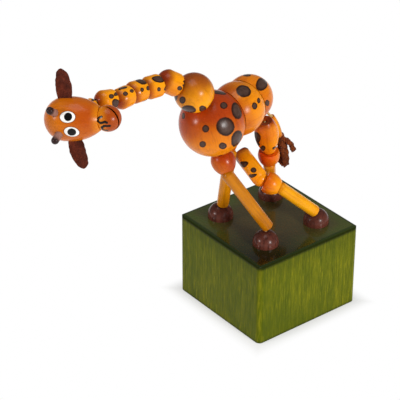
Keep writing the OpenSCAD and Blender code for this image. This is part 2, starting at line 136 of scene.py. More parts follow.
def body_joint(node):
    """Joint that the node's body turns on."""
    return next(joint for joint in JOINTS if joint["child"] == NODES[node]["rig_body"])


def leading_axis(spread):
    """Direction in which a matrix of spreads is largest."""
    axis = AXIS_GUESS
    for _ in range(AXIS_STEPS):
        axis = (spread @ axis).normalized()
    return axis


def long_axis(node):
    """Longest direction of a node's surface, its widest one across it, and its centre."""
    faces = NODES[node].data.polygons
    total = sum(face.area for face in faces)
    centre = sum((face.area * face.center for face in faces), Vector()) / total
    sums = [[0.0] * 3 for _ in range(3)]
    for face in faces:
        off = face.center - centre
        for i in range(3):
            for j in range(3):
                sums[i][j] += face.area * off[i] * off[j]
    spread = Matrix(sums)
    spread = spread * (1.0 / max(spread[i][i] for i in range(3)))
    first = leading_axis(spread)
    strength = (spread @ first).length
    taken = Matrix([[strength * first[i] * first[j] for j in range(3)] for i in range(3)])
    second = leading_axis(spread - taken)
    second = (second - first * second.dot(first)).normalized()
    return first, second, centre


def away_from_head(axis, centre):
    """The axis, turned so that it leads away from the head's middle."""
    return axis if axis.dot(centre - middle("head")) >= 0 else -axis


def far_end(node):
    """Point of a node furthest from the seat that its body turns on."""
    seat = Vector(body_joint(node)["pos_m"])
    return max((v.co for v in NODES[node].data.vertices), key=lambda co: (co - seat).length)


def string_axis(node):
    """Direction of a bead's string: from the seat it turns on to its middle."""
    return (middle(node) - Vector(body_joint(node)["pos_m"])).normalized()


# Distance in radii from which a node is looked at
OUTSIDE = 4


class Surface:
    """Finds points on a node's surface."""

    def __init__(self, node):
        mesh = NODES[node].data
        corners = [v.co for v in mesh.vertices]
        self.tree = BVHTree.FromPolygons(corners, [p.vertices[:] for p in mesh.polygons])
        self.centre = middle(node)
        self.radius = half_size(node)

    def at_pixel(self, x, y):
        ray = pixel_ray(x, y)
        place, normal, _, _ = self.tree.ray_cast(CAMERA_PLACE, ray)
        if place is None:
            near = CAMERA_PLACE + ray * (self.centre - CAMERA_PLACE).dot(ray)
            place, normal, _, _ = self.tree.find_nearest(near)
        return place, normal

    def outwards(self, direction):
        start = self.centre + direction * OUTSIDE * self.radius
        place, normal, _, _ = self.tree.ray_cast(start, -direction)
        return place, normal


# Spots and strokes of paint are flat patches on a surface, each with a centre and its two half axes

# How deep a patch reaches, as a share of its longer half axis
PATCH_DEPTH = 1.6
# A surface seen more edge-on than this counts as this much turned to the camera
LEAST_FACING = 0.3
GOLDEN_TURN = math.pi * (3 - math.sqrt(5))


def patch(centre, half_u, half_v, normal):
    """Vectors that turn an offset from the centre into shares of the half axes."""
    half_u = half_u - normal * half_u.dot(normal)
    half_v = half_v - normal * half_v.dot(normal)
    uu, vv, uv = half_u.dot(half_u), half_v.dot(half_v), half_u.dot(half_v)
    size = uu * vv - uv * uv
    return {
        "centre": centre,
        "u": (half_u * vv - half_v * uv) / size,
        "v": (half_v * uu - half_u * uv) / size,
        "n": normal / (PATCH_DEPTH * max(half_u.length, half_v.length)),
    }


def seen_patch(surface, x, y, wide, high, tilt=0.0):
    """Patch that covers an ellipse of the photograph, its long axis tilted by some degrees."""
    centre, normal = surface.at_pixel(x, y)
    c, s = math.cos(math.radians(tilt)), math.sin(math.radians(tilt))
    pixel = (CAMERA_PLACE - centre).length / FOCAL
    facing = max(normal.dot(CAMERA_BACK), LEAST_FACING)

    def on_surface(dx, dy):
        step = (CAMERA_RIGHT * dx - CAMERA_UP * dy) * pixel
        # Moves the step along the view until it lies in the surface
        return step - CAMERA_BACK * (step.dot(normal) / facing)

    half_u = on_surface(c * wide / 2, s * wide / 2)
    half_v = on_surface(-s * high / 2, c * high / 2)
    return patch(centre, half_u, half_v, normal)


def far_patch(surface, direction, radius):
    """Round patch where a direction from the node's middle meets its surface."""
    centre, normal = surface.outwards(direction)
    side = normal.orthogonal().normalized()
    return patch(centre, side * radius, normal.cross(side) * radius, normal)


def smaller(spot, share):
    """Patch shrunk to a share of its size."""
    shrunk = {key: spot[key] / share for key in "uvn"}
    shrunk["centre"] = spot["centre"]
    return shrunk


def spiral(count, turn):
    """Directions spread evenly over a ball."""
    for i in range(count):
        z = 1 - (2 * i + 1) / count
        a = turn + i * GOLDEN_TURN
        flat = math.sqrt(1 - z * z)
        yield Vector((flat * math.cos(a), flat * math.sin(a), z))


# Node trees

class Shader:
    """A material's node tree, with short calls for its nodes."""

    def __init__(self, name):
        self.material = bpy.data.materials.new(name)
        self.material.use_nodes = True
        self.tree = self.material.node_tree
        self.tree.nodes.clear()
        self.out = self.tree.nodes.new("ShaderNodeOutputMaterial")
        self.place = self.node("ShaderNodeTexCoord").outputs["Object"]

    def node(self, kind, **settings):
        made = self.tree.nodes.new(kind)
        for key, value in settings.items():
            setattr(made, key, value)
        return made

    def feed(self, socket, value):
        if isinstance(value, bpy.types.NodeSocket):
            self.tree.links.new(value, socket)
        else:
            socket.default_value = value

    def math(self, operation, a, b=0.0):
        made = self.node("ShaderNodeMath", operation=operation)
        self.feed(made.inputs[0], a)
        self.feed(made.inputs[1], b)
        return made.outputs[0]

    def add(self, value, other, share):
        """A value plus a share of another."""
        return self.math("ADD", value, self.math("MULTIPLY", other, share))

    def swing(self, value, strength):
        """Noise turned into a swing about zero."""
        return self.math("MULTIPLY", self.math("SUBTRACT", value, 0.5), strength)

    def vector(self, operation, a, b=None):
        made = self.node("ShaderNodeVectorMath", operation=operation)
        self.feed(made.inputs[0], a)
        if b is not None:
            self.feed(made.inputs["Scale" if operation == "SCALE" else 1], b)
        return made.outputs["Value" if operation in ("DOT_PRODUCT", "LENGTH") else 0]

    def ramp(self, value, start, full):
        """Share that rises smoothly from 0 where the value is start to 1 where it is full."""
        made = self.node("ShaderNodeMapRange", interpolation_type="SMOOTHSTEP")
        self.feed(made.inputs["Value"], value)
        made.inputs["From Min"].default_value = start
        made.inputs["From Max"].default_value = full
        return made.outputs[0]

    def below(self, value, limit, band):
        """Share that rises over a band of distances below a limit."""
        start, full = band
        return self.ramp(value, limit - start, limit - full)

    def mix(self, share, a, b):
        made = self.node("ShaderNodeMix", data_type="RGBA")
        self.feed(made.inputs["Factor"], share)
        for socket in made.inputs:
            if socket.type == "RGBA" and socket.name in "AB":
                self.feed(socket, a if socket.name == "A" else b)
        return next(s for s in made.outputs if s.type == "RGBA")

    def over(self, colour, tone, mask, strength):
        """Colour with a tone laid over it where a mask says."""
        return self.mix(self.math("MULTIPLY", mask, strength), colour, tone)

    def noise(self, vector, size, detail=3.0, rough=0.55):
        """Noise with features of about that size in metres."""
        made = self.node("ShaderNodeTexNoise")
        self.feed(made.inputs["Vector"], vector)
        made.inputs["Scale"].default_value = 1 / size
        made.inputs["Detail"].default_value = detail
        made.inputs["Roughness"].default_value = rough
        return made.outputs[0]

    def coordinates(self):
        made = self.node("ShaderNodeSeparateXYZ")
        self.feed(made.inputs[0], self.place)
        return made.outputs

    def offset(self, point):
        return self.vector("SUBTRACT", self.place, tuple(point))

    def along(self, point, axis):
        """Distance along an axis from a point."""
        return self.vector("DOT_PRODUCT", self.offset(point), tuple(axis))

    def stretched(self, axis, share):
        """Coordinates in which noise runs long along an axis: its width is that share of its length."""
        run = self.vector("DOT_PRODUCT", self.place, tuple(axis))
        cut = self.vector("SCALE", tuple(axis), self.math("MULTIPLY", run, 1 - share))
        return self.vector("SUBTRACT", self.place, cut)

    def patch_mask(self, spot, edge, wobble=None):
        """1 inside a patch and 0 outside it."""
        off = self.offset(spot["centre"])
        made = self.node("ShaderNodeCombineXYZ")
        for socket, key in zip(made.inputs, "uvn"):
            self.feed(socket, self.vector("DOT_PRODUCT", off, tuple(spot[key])))
        reach = self.vector("LENGTH", made.outputs[0])
        if wobble is not None:
            reach = self.math("ADD", reach, wobble)
        return self.ramp(reach, 1 + edge, 1 - edge)

    def patch_masks(self, spots, edge, wobble=None):
        return self.together([self.patch_mask(spot, edge, wobble) for spot in spots])

    def stroke_mask(self, start, end, radius, edge=0.2):
        """1 within a radius of the line between two points."""
        run = end - start
        off = self.offset(start)
        share = self.vector("DOT_PRODUCT", off, tuple(run / run.dot(run)))
        share = self.math("MINIMUM", self.math("MAXIMUM", share, 0.0), 1.0)
        gap = self.vector("SUBTRACT", off, self.vector("SCALE", tuple(run), share))
        return self.ramp(self.vector("LENGTH", gap), radius * (1 + edge), radius * (1 - edge))

    def together(self, masks):
        whole = masks[0]
        for mask in masks[1:]:
            whole = self.math("MAXIMUM", whole, mask)
        return whole

    def finish(self, colour, roughness, bump, bump_height, **settings):
        """Ends the tree in a principled shader and gives the material."""
        shader = self.node("ShaderNodeBsdfPrincipled")
        self.feed(shader.inputs["Base Color"], colour)
        self.feed(shader.inputs["Roughness"], roughness)
        for key, value in settings.items():
            self.feed(shader.inputs[key.replace("_", " ").title().replace("Ior", "IOR")], value)
        made = self.node("ShaderNodeBump")
        made.inputs["Strength"].default_value = 1.0
        made.inputs["Distance"].default_value = bump_height
        self.feed(made.inputs["Height"], bump)
        self.feed(shader.inputs["Normal"], made.outputs[0])
        self.tree.links.new(shader.outputs[0], self.out.inputs["Surface"])
        return self.material


def wear(node, material):
    NODES[node].data.materials.clear()
    NODES[node].data.materials.append(material)


# Lacquered wood

# Sizes of the clouds in the stain, of the grain's rings and pores, of the mottle in paint, and of the
# swells and the haze in the lacquer
CLOUD_SIZE = 6 * MM
RING_SIZE = 1.1 * MM
PORE_SIZE = 0.35 * MM
MOTTLE_SIZE = 1.2 * MM
SWELL_SIZE = 4 * MM
HAZE_SIZE = 3 * MM
CLOUD_STRENGTH = 0.5
# Width of rings and pores as a share of their length, and where in their noise they start and are full
RING_STRETCH = 0.06
PORE_STRETCH = 0.04
RING_DARK = (0.45, 0.75)
PORE_DARK = (0.60, 0.78)
# The grain's lines are this share of the deep colour, and the pores this share as strong as the rings
LINE_DARKNESS = 0.42
PORE_STRENGTH = 0.9
# Height of the rings under the lacquer, as a share of the swells
RING_HEIGHT = 0.5
LACQUER_BUMP = 0.05 * MM
LACQUER_GLOSS = 0.2
# Roughness of clear lacquer, and what the haze adds
LACQUER_ROUGH = 0.20
HAZE_ROUGH = 0.10

# Share of the deep colour at a node's middle, what it gains towards the two ends of its axis, and the
# direction and strength of a lean to one side
Shade = namedtuple("Shade", "middle ends lean strength", defaults=(None, 0.0))


def lacquer(node, axis, centre, light, deep, shade, grain=0.3, paint=(), sprayed=None):
    """Dresses a node in stained, sprayed and lacquered wood with its grain along an axis. sprayed is
    a colour blown on one end: the colour, where along the axis it starts and where it is full.
    paint is a list of (colour, second colour of its mottle, mask maker) laid on top."""
    s = Shader(node)
    radius = half_size(node)
    run = s.math("DIVIDE", s.along(centre, axis), radius)
    drift = s.swing(s.noise(s.place, CLOUD_SIZE, detail=2.0), CLOUD_STRENGTH)
    deepness = s.math("ADD", shade.middle, drift)
    deepness = s.add(deepness, s.math("MULTIPLY", run, run), shade.ends)
    if shade.lean is not None:
        tip = s.math("DIVIDE", s.along(centre, shade.lean), radius)
        deepness = s.add(deepness, tip, shade.strength)
    colour = s.mix(s.ramp(deepness, 0.0, 1.0), light, deep)
    if sprayed is not None:
        tone, start, full = sprayed
        colour = s.mix(s.ramp(s.math("ADD", run, drift), start, full), colour, tone)
    # Grain: broad rings and fine dark pores along the axis
    rings = s.noise(s.stretched(axis, RING_STRETCH), RING_SIZE, detail=4.0, rough=0.6)
    pores = s.noise(s.stretched(axis, PORE_STRETCH), PORE_SIZE, detail=2.0, rough=0.5)
    dark = tuple(LINE_DARKNESS * c for c in deep[:3]) + (1.0,)
    colour = s.over(colour, dark, s.ramp(rings, *RING_DARK), grain)
    colour = s.over(colour, dark, s.ramp(pores, *PORE_DARK), grain * PORE_STRENGTH)
    for tone, second, mask in paint:
        mottle = s.noise(s.place, MOTTLE_SIZE)
        colour = s.mix(mask(s), colour, s.mix(mottle, tone, second))
    swell = s.noise(s.place, SWELL_SIZE, detail=2.0)
    height = s.add(swell, rings, RING_HEIGHT)
    haze = s.ramp(s.noise(s.place, HAZE_SIZE), 0.2, 0.8)
    rough = s.add(LACQUER_ROUGH, haze, HAZE_ROUGH)
    wear(node, s.finish(colour, rough, height, LACQUER_BUMP, specular_ior_level=LACQUER_GLOSS))


# Beads

YELLOW = srgb("#FFA40A")
ORANGE = srgb("#F08A08")
RED = srgb("#AC3C0A")
RUST = srgb("#8E300A")
# Spots, and their lighter insides
SPOT_DARK = srgb("#24120A")
SPOT_BROWN = srgb("#321A10")
SPOT_MIDDLE = srgb("#3A261E")
SPOT_LIGHT = srgb("#5C443A")
SPOT_INSIDE = 0.72
# Softness of the edges of spots and insides, and the size and strength of their wobble
SPOT_EDGE = 0.07
SPOT_WOBBLE = 0.16
SPOT_WOBBLE_SIZE = 1.6 * MM
INSIDE_EDGE = 0.3
INSIDE_WOBBLE = 0.5
INSIDE_WOBBLE_SIZE = 0.9 * MM

# Spots seen in the photograph, as pixels: centre, width, height and tilt
SPOTS = {
    "chest_ball": [
        (226, 126.8, 18.6, 18.6), (205.6, 128.8, 7, 7.4), (202.6, 144.4, 6.6, 6.2), (222.9, 146.1, 7.8, 6.6),
        (223.9, 105.3, 7.6, 7.2), (237.4, 110.2, 10.4, 17.6, -14), (237.5, 139.3, 9.2, 17, 24),
        (183.3, 115.8, 3.2, 6.4), (219.8, 92.4, 14, 4, 8), (221.8, 155.6, 8, 3.4),
    ],
    "belly_ball": [
        (243.8, 90.4, 15.4, 12.8, 12), (254.7, 105.9, 5.6, 7.2), (258.8, 100.5, 3.4, 5.8),
        (222.6, 84.2, 7, 5, -10),
    ],
    "rump_ball": [(262.5, 83.2, 11.6, 14, 14), (267.5, 103, 4.6, 6.2), (246.8, 74.8, 8, 3)],
    "neck_ball": [
        (182.3, 100.2, 6.4, 7), (175.2, 97.5, 3.4, 7), (188.4, 110.5, 14.6, 6.4, 12),
        (203.1, 109.5, 7.4, 5, -18),
    ],
    "neck_bead_1": [(184.5, 82.7, 4.6, 5), (179.8, 88.4, 5.2, 4.4), (188, 88.4, 3, 5)],
    "neck_bead_2": [(158.6, 78.8, 13.6, 7, 4), (159, 89.3, 3.6, 4.4), (165.8, 88.3, 3.2, 5.4)],
    "neck_bead_3": [(141.6, 80.3, 12.4, 6.4, 4), (142.1, 89.7, 3.6, 4.4), (148.6, 88, 3.6, 5)],
    "neck_bead_4": [(125.6, 93.5, 5, 5), (131.8, 90.8, 4, 4), (122.8, 87.9, 9, 2.8, -14)],
    "neck_bead_5": [(111.4, 96.3, 5, 5), (116.8, 93.7, 4, 4), (116.4, 103.4, 8.4, 8.4)],
    "neck_bead_6": [(94.6, 98.8, 4, 4), (100.4, 102.4, 5, 5)],
    "rear_left_thigh": [(243.2, 164.5, 7.4, 6, 20), (253.5, 170.1, 6, 5.4), (251.4, 176.1, 5.6, 3.6, 10)],
    "rear_right_thigh": [(256.4, 137.6, 7, 11, -16), (262.8, 148.3, 5, 5.6)],
}
# Spots on the sides that the photograph doesn't show: how many places a ball has, the turn of the first
# one, and the radii in mm that the spots take in turn
FAR_SPOTS = {
    "chest_ball": (30, 0.4, (3.3, 1.3, 2.6, 1.2, 1.5)), "belly_ball": (24, 1.1, (2.6, 1.1, 1.4)),
    "rump_ball": (20, 2.3, (2.3, 1.0, 1.3)), "neck_ball": (18, 0.9, (1.2, 2.2, 1.1)),
    "neck_bead_1": (12, 0.2, (0.8, 1.5, 0.7)), "neck_bead_2": (12, 1.3, (0.7, 1.7, 0.7)),
    "neck_bead_3": (12, 2.1, (0.7, 1.6, 0.7)), "neck_bead_4": (12, 0.7, (0.7, 1.3, 0.6)),
    "neck_bead_5": (11, 1.8, (0.7, 1.3, 0.6)), "neck_bead_6": (10, 2.6, (0.6, 1.1, 0.6)),
    "rear_left_thigh": (12, 0.5, (1.2, 0.9, 1.5)), "rear_right_thigh": (12, 1.5, (1.2, 0.9, 1.5)),
}
# Directions turned to the camera by more than this have the spots of the photograph
FAR_LIMIT = -0.05
# Light and deep colour of each bead, then its share of the deep one: at the middle, at the ends,
# and leaning towards a direction of the photograph (right, up) with some strength
BEADS = {
    "chest_ball": (ORANGE, RED, 0.84, 0.0, (-0.25, 1), 0.80),
    "belly_ball": (srgb("#F8960A"), RED, 0.50, 0.1, (-1, -0.3), 0.5),
    "rump_ball": (srgb("#F48E0A"), RED, 0.56, 0.1, (-0.7, -0.8), 0.4),
    "neck_ball": (YELLOW, srgb("#9C4A10"), 0.58, 0.0, (-0.35, 1), 0.65),
    # The rear left thigh's colours are lighter, as painted light against the shade it lies in
    "rear_left_thigh": (srgb("#FFA80E"), srgb("#FA8406"), 0.4, 0.2, (-1, -0.3), 0.3),
    "rear_right_thigh": (YELLOW, srgb("#D8540E"), 0.55, 0.1, (-1, 0.3), 0.4),
    "front_left_shoulder": (srgb("#E8800A"), RED, 0.80, 0.15, (0.4, 0.8), 0.4),
    "front_right_shoulder": (srgb("#E8800A"), RED, 0.80, 0.15, (0.4, 0.8), 0.4),
    "rear_left_knee": (YELLOW, srgb("#E05A0C"), 0.55, 0.1, (-1, 0.3), 0.5),
    "rear_right_knee": (ORANGE, srgb("#E4520E"), 0.75, 0.1, (-1, 0.2), 0.45),
}
# The neck beads are alike: yellow, with red blown on the end towards the head
NECK_BEAD = (YELLOW, srgb("#E27A08"), 0.45, 0.0, (-0.3, -1), 0.3)
BEADS.update({f"neck_bead_{i}": NECK_BEAD for i in range(1, 7)})
# Where along a bead, as a share of its half size from its middle, the red starts and where it is full
SPRAY_RED = srgb("#8A2E0A")
SPRAY = {
    "neck_bead_1": (0.10, 0.75), "neck_bead_2": (0.10, 0.90), "neck_bead_3": (0.00, 0.80),
    "neck_bead_4": (0.15, 1.00), "neck_bead_5": (0.15, 1.05), "neck_bead_6": (0.25, 1.20),
    "rear_left_thigh": (0.55, 0.95), "rear_right_thigh": (0.55, 1.00),
}


def spots_of(node):
    surface = Surface(node)
    spots = [seen_patch(surface, *spot) for spot in SPOTS[node]]
    count, turn, radii = FAR_SPOTS[node]
    for i, direction in enumerate(spiral(count, turn)):
        if direction.dot(CAMERA_BACK) <= FAR_LIMIT:
            spots.append(far_patch(surface, direction, radii[i % len(radii)] * MM))
    return spots


def spot_paint(node):
    """Brown spots, darker along their edges."""
    spots = spots_of(node)
    insides = [smaller(spot, SPOT_INSIDE) for spot in spots]

    def whole(s):
        wobble = s.swing(s.noise(s.place, SPOT_WOBBLE_SIZE, detail=2.0), SPOT_WOBBLE)
        return s.patch_masks(spots, SPOT_EDGE, wobble)

    def inner(s):
        wobble = s.swing(s.noise(s.place, INSIDE_WOBBLE_SIZE), INSIDE_WOBBLE)
        return s.patch_masks(insides, INSIDE_EDGE, wobble)

    return [(SPOT_BROWN, SPOT_DARK, whole), (SPOT_MIDDLE, SPOT_LIGHT, inner)]


def dress_beads():
    for node, (light, deep, share, ends, (right, up), strength) in BEADS.items():
        lean = (CAMERA_RIGHT * right + CAMERA_UP * up).normalized()
        paint = spot_paint(node) if node in SPOTS else ()
        sprayed = (SPRAY_RED, *SPRAY[node]) if node in SPRAY else None
        lacquer(node, string_axis(node), middle(node), light, deep, Shade(share, ends, lean, strength),
                paint=paint, sprayed=sprayed)


# Sticks, hooves and tail

# Light and deep colour of each leg's stick; they differ as painted light and shade, the front ones darker in
# shade and the rear left one lighter where it is lit
LIT_AND_SHADED_STICKS = {
    "front_left": (srgb("#D08004"), srgb("#9C5004")),
    "front_right": (srgb("#DC8A06"), srgb("#B06006")),
    "rear_left": (srgb("#FFB010"), srgb("#DA7C06")),
    "rear_right": (srgb("#F0960A"), srgb("#C26408")),
}
STICK_SHADE = Shade(0.22, 0.2)
STICK_GRAIN = 0.4
HOOF_LIGHT = srgb("#6C3A2E")
HOOF_DEEP = srgb("#34140E")
# The hooves darken towards their tops: painted shade under the sticks
HOOF_SHADE_UNDER_STICK = Shade(0.34, 0.0, UP, 0.45)
HOOF_GRAIN = 0.8
TAIL_SHADE = Shade(0.2, 0.4)
TAIL_GRAIN = 0.5


def dress_legs():
    for leg, (light, deep) in LIT_AND_SHADED_STICKS.items():
        stick = leg + "_stick"
        axis, _, centre = long_axis(stick)
        lacquer(stick, axis, centre, light, deep, STICK_SHADE, STICK_GRAIN)
        hoof = leg + "_hoof"
        lacquer(hoof, UP, middle(hoof), HOOF_LIGHT, HOOF_DEEP, HOOF_SHADE_UNDER_STICK, HOOF_GRAIN)


def dress_tail():
    axis, _, centre = long_axis("tail_rod")
    lacquer("tail_rod", axis, centre, YELLOW, RED, TAIL_SHADE, TAIL_GRAIN)


# Head

HEAD_LIGHT = srgb("#DA7808")
HEAD_SHADE = Shade(0.28, 0.1)
HEAD_GRAIN = 0.25
# The painted face, as pixels of the photograph: eyes as spots are, and nostrils as lines through points
EYE_WHITES = [(67.4, 117, 16.5, 12.3), (71.6, 132.3, 16.3, 9.9, 8)]
EYE_PUPILS = [(68, 116.8, 8.3, 8.6), (71.7, 132.3, 8.9, 7.2)]
# The white leaves a dark line round the eye
WHITE_SHARE = 0.92
NOSTRILS = [
    [(101.5, 116.8), (98.3, 118), (98, 121.1), (100.3, 123.1), (105.1, 121.9), (106.7, 122.7)],
    [(109.9, 125.9), (104.3, 125.9), (101.8, 127.5), (102.7, 129.5), (105.1, 130.3), (107.1, 130.3)],
]
NOSTRIL_RADIUS = 0.45 * MM
# Red blown on the crown, fading out all the way from its middle
CROWN_PIXEL = (84, 117)
CROWN_RADIUS = 6 * MM
CROWN_EDGE = 0.9
CROWN_STRENGTH = 0.75
# Red blown on the snout: distances past the waist where it starts and where it is full
WAIST_PIXEL = (99, 119)
SNOUT_RED = (-0.6 * MM, 2.4 * MM)
SNOUT_STRENGTH = 0.8
# A lighter band along the waist, partly lighter spray and partly painted light on the crease's shade:
# distances to either side of it where it starts and where it is full
WAIST_LIGHTENING = (3.4 * MM, 0.2 * MM)
WAIST_LIGHTENING_STRENGTH = 0.7
# The snout is a ball past the waist, and points this deep in it belong to the mouth's cut
SNOUT_RADIUS = 4.6 * MM
SNOUT_START = 2 * MM
MOUTH_LEAST_DEPTH = 0.3 * MM
# Steps and pace of the search for the ball's centre
FIT_STEPS = 60
FIT_PACE = 2.0
# Painted shade in the mouth's groove, from the first to the second depth, and only past the waist
MOUTH_SHADE = (0.15 * MM, 0.4 * MM)
MOUTH_PAST_WAIST = (1.6 * MM, 2.4 * MM)


def snout_centre(waist, axis):
    """Centre of the snout's ball, found from the points beyond the waist."""
    points = [v.co for v in NODES["head"].data.vertices if (v.co - waist).dot(axis) > SNOUT_START]
    centre = sum(points, Vector()) / len(points) - axis * SNOUT_START
    for _ in range(FIT_STEPS):
        move, count = Vector(), 0
        for point in points:
            off = point - centre
            miss = off.length - SNOUT_RADIUS
            if miss > -MOUTH_LEAST_DEPTH:
                move += off.normalized() * miss
                count += 1
        centre += move * (FIT_PACE / max(count, 1))
    return centre


def crown_paint(surface):
    direction = (surface.at_pixel(*CROWN_PIXEL)[0] - surface.centre).normalized()
    crown = far_patch(surface, direction, CROWN_RADIUS)

    def mask(s):
        return s.math("MULTIPLY", s.patch_mask(crown, CROWN_EDGE), CROWN_STRENGTH)

    return [(RED, srgb("#A83C0C"), mask)]


def snout_paint(waist, axis):
    """Red on the snout, and the lighter waist behind it, partly painted light on the crease's shade."""
    def snout(s):
        return s.math("MULTIPLY", s.ramp(s.along(waist, axis), *SNOUT_RED), SNOUT_STRENGTH)

    # Painted light along the waist's crease, partly lighter spray
    def band(s):
        off = s.math("ABSOLUTE", s.along(waist, axis))
        return s.math("MULTIPLY", s.ramp(off, *WAIST_LIGHTENING), WAIST_LIGHTENING_STRENGTH)

    return [(srgb("#A8440F"), RUST, snout), (srgb("#E08208"), srgb("#F09A12"), band)]


def eye_paint(surface):
    rounds = [seen_patch(surface, *eye) for eye in EYE_WHITES]
    whites = [smaller(eye, WHITE_SHARE) for eye in rounds]
    pupils = [seen_patch(surface, *eye) for eye in EYE_PUPILS]
    return [
        (srgb("#4A2410"), srgb("#5A3012"), lambda s: s.patch_masks(rounds, edge=0.12)),
        (srgb("#F6F2EA"), srgb("#FFFFFF"), lambda s: s.patch_masks(whites, edge=0.05)),
        (srgb("#070605"), srgb("#0E0C0A"), lambda s: s.patch_masks(pupils, edge=0.09)),
    ]


def nostril_paint(surface):
    strokes = []
    for line in NOSTRILS:
        points = [surface.at_pixel(*pixel)[0] for pixel in line]
        strokes += zip(points, points[1:])

    def mask(s):
        return s.together([s.stroke_mask(a, b, NOSTRIL_RADIUS) for a, b in strokes])

    return [(srgb("#0E0806"), srgb("#190F0B"), mask)]


def mouth_groove_shade(waist, axis):
    ball = snout_centre(waist, axis)

    # Painted shade inside the mouth's cut groove
    def mask(s):
        depth = s.math("SUBTRACT", SNOUT_RADIUS, s.vector("LENGTH", s.offset(ball)))
        past_waist = s.ramp(s.along(waist, axis), *MOUTH_PAST_WAIST)
        return s.math("MULTIPLY", s.ramp(depth, *MOUTH_SHADE), past_waist)

    return [(srgb("#2A0F06"), srgb("#3A1708"), mask)]


def dress_head():
    surface = Surface("head")
    waist = surface.at_pixel(*WAIST_PIXEL)[0]
    axis, _, centre = long_axis("head")
    if axis.dot(waist - centre) < 0:
        axis = -axis
    paint = crown_paint(surface) + snout_paint(waist, axis) + eye_paint(surface)
    paint += nostril_paint(surface) + mouth_groove_shade(waist, axis)
    lacquer("head", axis, centre, HEAD_LIGHT, RED, HEAD_SHADE, HEAD_GRAIN, paint)


def dress_horns():
    """Brown horns with dark tips."""
    for node in ("left_horn", "right_horn"):
        axis, _, centre = long_axis(node)
        axis = away_from_head(axis, centre)
        s = Shader(node)
        run = s.math("DIVIDE", s.along(centre, axis), half_size(node))
        mottle = s.noise(s.stretched(axis, 0.3), size=0.9 * MM)
        colour = s.mix(mottle, srgb("#7E5448"), srgb("#A67C6E"))
        colour = s.mix(s.ramp(s.add(run, mottle, 0.4), 0.55, 1.05), colour, srgb("#2E1B18"))
        wear(node, s.finish(colour, 0.3, mottle, 0.06 * MM, specular_ior_level=LACQUER_GLOSS))


# Base

BASE_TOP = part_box("base_block")[1].z
BASE_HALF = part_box("base_block")[1].x
# The pocket's bare wood reaches just past the button's rim and the spring's upper end
POCKET_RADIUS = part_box("push_button")[1].x + 0.7 * MM
POCKET_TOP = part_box("return_spring")[1].z + 1 * MM
BASE_GLOSS = 0.05
BASE_BUMP = 0.05 * MM
TOP_COAT = 0.7
TOP_COAT_ROUGH = 0.1
TOP_GRAIN = Vector((0.96, 0.28, 0))
# Upright grain of the sides: its size, its width as a share of its length, detail and roughness
SIDE_GRAIN = {
    "broad": (5.5 * MM, 0.05, 3.0, 0.55),
    "streak": (1.0 * MM, 0.05, 4.0, 0.65),
    "fine": (0.42 * MM, 0.06, 3.0, 0.60),
    "speck": (0.8 * MM, 0.14, 3.0, 0.60),
    "blotch": (18 * MM, 1.0, 2.0, 0.55),
}
# Tones laid over the green: the grain that each follows, where in it the tone starts and is full,
# its strength and its colour
SIDE_TONES = [
    ("streak", 0.50, 0.75, 0.35, srgb("#87840E")),
    ("fine", 0.50, 0.72, 0.55, srgb("#948C14")),
    ("fine", 0.48, 0.28, 0.55, srgb("#3A4206")),
    ("speck", 0.56, 0.72, 0.34, srgb("#A39A1A")),
    ("speck", 0.44, 0.30, 0.30, srgb("#2E3A06")),
    ("blotch", 0.40, 0.75, 0.50, srgb("#485406")),
]
# Distances from an edge where a tone starts and where it is full: a painted highlight on the upright edges,
# a darker band below the top, painted shade along the top edge, the top's own rim, and where the top's
# lacquer begins
EDGE_HIGHLIGHT = (1.7 * MM, 0.4 * MM)
DARKER_BELOW_TOP = (11 * MM, 2 * MM)
TOP_EDGE_SHADE = (2.4 * MM, 0.8 * MM)
TOP_RIM = (2.0 * MM, 1.0 * MM)
TOP_START = (0.7 * MM, 0.1 * MM)
# Height of the painted shade along the foot, where the base meets the floor
FOOT_SHADE_HEIGHT = 1.4 * MM
# Distances along the view towards the camera over which the top darkens, as a painted dark reflection
TOP_DARK_REFLECTION = (0.1 * BASE_HALF, 1.05 * BASE_HALF)


def base_sides(s, grain, corner, z):
    """Green stain with a painted highlight on the upright edges, darker below the top, and painted shade
    along the top edge and the foot.
    """
    green = s.mix(s.ramp(grain["broad"], 0.3, 0.7), srgb("#59620A"), srgb("#6A6E0A"))
    for kind, start, full, strength, tone in SIDE_TONES:
        green = s.over(green, tone, s.ramp(grain[kind], start, full), strength)
    # Painted highlight on the upright edges, broken up by the specks
    edge_highlight = s.math("MULTIPLY", s.below(corner, BASE_HALF, EDGE_HIGHLIGHT), s.ramp(grain["speck"], 0.42, 0.62))
    green = s.over(green, srgb("#A89A20"), edge_highlight, 0.35)
    green = s.over(green, srgb("#38420A"), s.below(z, BASE_TOP, DARKER_BELOW_TOP), 0.35)
    # Painted shade along the rounded top edge, and along the foot where the base meets the floor
    top_edge_shade = s.math("MULTIPLY", s.below(z, BASE_TOP, TOP_EDGE_SHADE), 0.9)
    foot = s.math("MULTIPLY", s.ramp(z, FOOT_SHADE_HEIGHT, 0.0), 0.5)
    return s.mix(s.math("MAXIMUM", top_edge_shade, foot), green, srgb("#141C04"))


